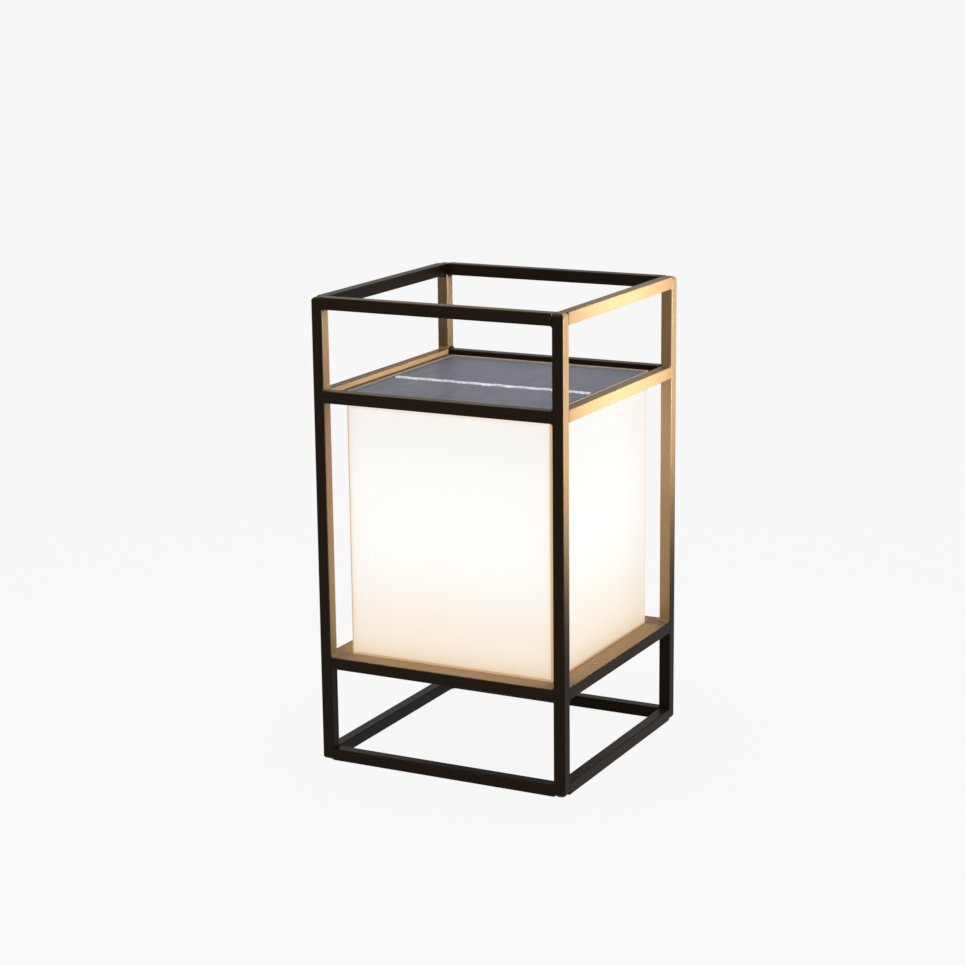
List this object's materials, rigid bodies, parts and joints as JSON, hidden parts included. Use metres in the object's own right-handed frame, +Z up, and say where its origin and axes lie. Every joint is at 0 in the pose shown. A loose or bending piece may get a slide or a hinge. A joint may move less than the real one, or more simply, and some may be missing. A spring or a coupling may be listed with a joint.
{
  "type": "solar table lantern",
  "caption": "Square open-frame table lantern with an opal light box on a tray and a lift-out solar head with a push button underneath.",
  "frame": {"origin": "on the floor under the middle of the square frame", "axes": "+Z up; -Y is the front, the wide face at the left of the picture; +X is the face at the right of the picture"},
  "size_m": [0.2, 0.2, 0.35],
  "materials": {
    "frame_paint": "satin dark bronze powder coat",
    "tray_paint": "satin dark bronze powder coat",
    "foot_rubber": "matte black rubber",
    "opal_acrylic": "opal white, lit from inside",
    "screw_steel": "plain zinc-plated steel",
    "head_plastic": "satin dark bronze moulding",
    "panel_board": "dark laminate board",
    "solar_cell": "grey-blue silicon",
    "solder_ribbon": "tinned ribbon",
    "panel_window": "clear laminate with a fine texture",
    "sealant": "pale beige sealant",
    "white_plastic": "satin white moulding",
    "gasket_rubber": "matte black foam rubber",
    "battery_wrap": "shrink sleeve",
    "nickel": "bright nickel",
    "foam": "open foam",
    "circuit_board": "solder-mask green",
    "light_circuit": "white solder mask",
    "light_chip": "phosphor yellow",
    "switch_plastic": "black moulding",
    "button_rubber": "matte black rubber"
  },
  "bodies": {
    "frame": {"post_front_left": "frame_paint", "post_front_right": "frame_paint", "post_back_right": "frame_paint", "post_back_left": "frame_paint", "base_rail_front": "frame_paint", "base_rail_right": "frame_paint", "base_rail_back": "frame_paint", "base_rail_left": "frame_paint", "tray_rail_front": "frame_paint", "tray_rail_right": "frame_paint", "tray_rail_back": "frame_paint", "tray_rail_left": "frame_paint", "panel_rail_front": "frame_paint", "panel_rail_right": "frame_paint", "panel_rail_back": "frame_paint", "panel_rail_left": "frame_paint", "top_rail_front": "frame_paint", "top_rail_right": "frame_paint", "top_rail_back": "frame_paint", "top_rail_left": "frame_paint", "seat_lug_front_left": "frame_paint", "seat_lug_front_right": "frame_paint", "seat_lug_back_right": "frame_paint", "seat_lug_back_left": "frame_paint", "foot_front_left": "foot_rubber", "foot_front_right": "foot_rubber", "foot_back_right": "foot_rubber", "foot_back_left": "foot_rubber", "tray_plate": "tray_paint", "light_box": "opal_acrylic", "light_box_screws": "screw_steel"},
    "solar_head": {"head_cover": "head_plastic", "panel_backing": "panel_board", "cell_row_front": "solar_cell", "cell_row_back": "solar_cell", "cell_ribbon": "solder_ribbon", "panel_window": "panel_window", "panel_seal": "sealant", "lamp_housing": "white_plastic", "battery_door": "white_plastic", "door_gasket": "gasket_rubber", "door_screws": "screw_steel", "battery_cell_front": "battery_wrap", "battery_cell_back": "battery_wrap", "nickel_strips": "nickel", "battery_pad": "foam", "control_board": "circuit_board", "light_board": "light_circuit", "light_chips": "light_chip", "switch_housing": "head_plastic", "switch_body": "switch_plastic"},
    "button": {"power_button": "button_rubber"}
  },
  "joints": [
    {"name": "head_lift", "type": "slide", "parent": "frame", "child": "solar_head", "axis": [0, 0, 1], "range_m": [0, 0.105]},
    {"name": "button_press", "type": "slide", "parent": "solar_head", "child": "button", "axis": [0, 0, 1], "range_m": [0, 0.001], "stiffness_N_per_m": 1500, "springref_m": -0.0005}
  ]
}
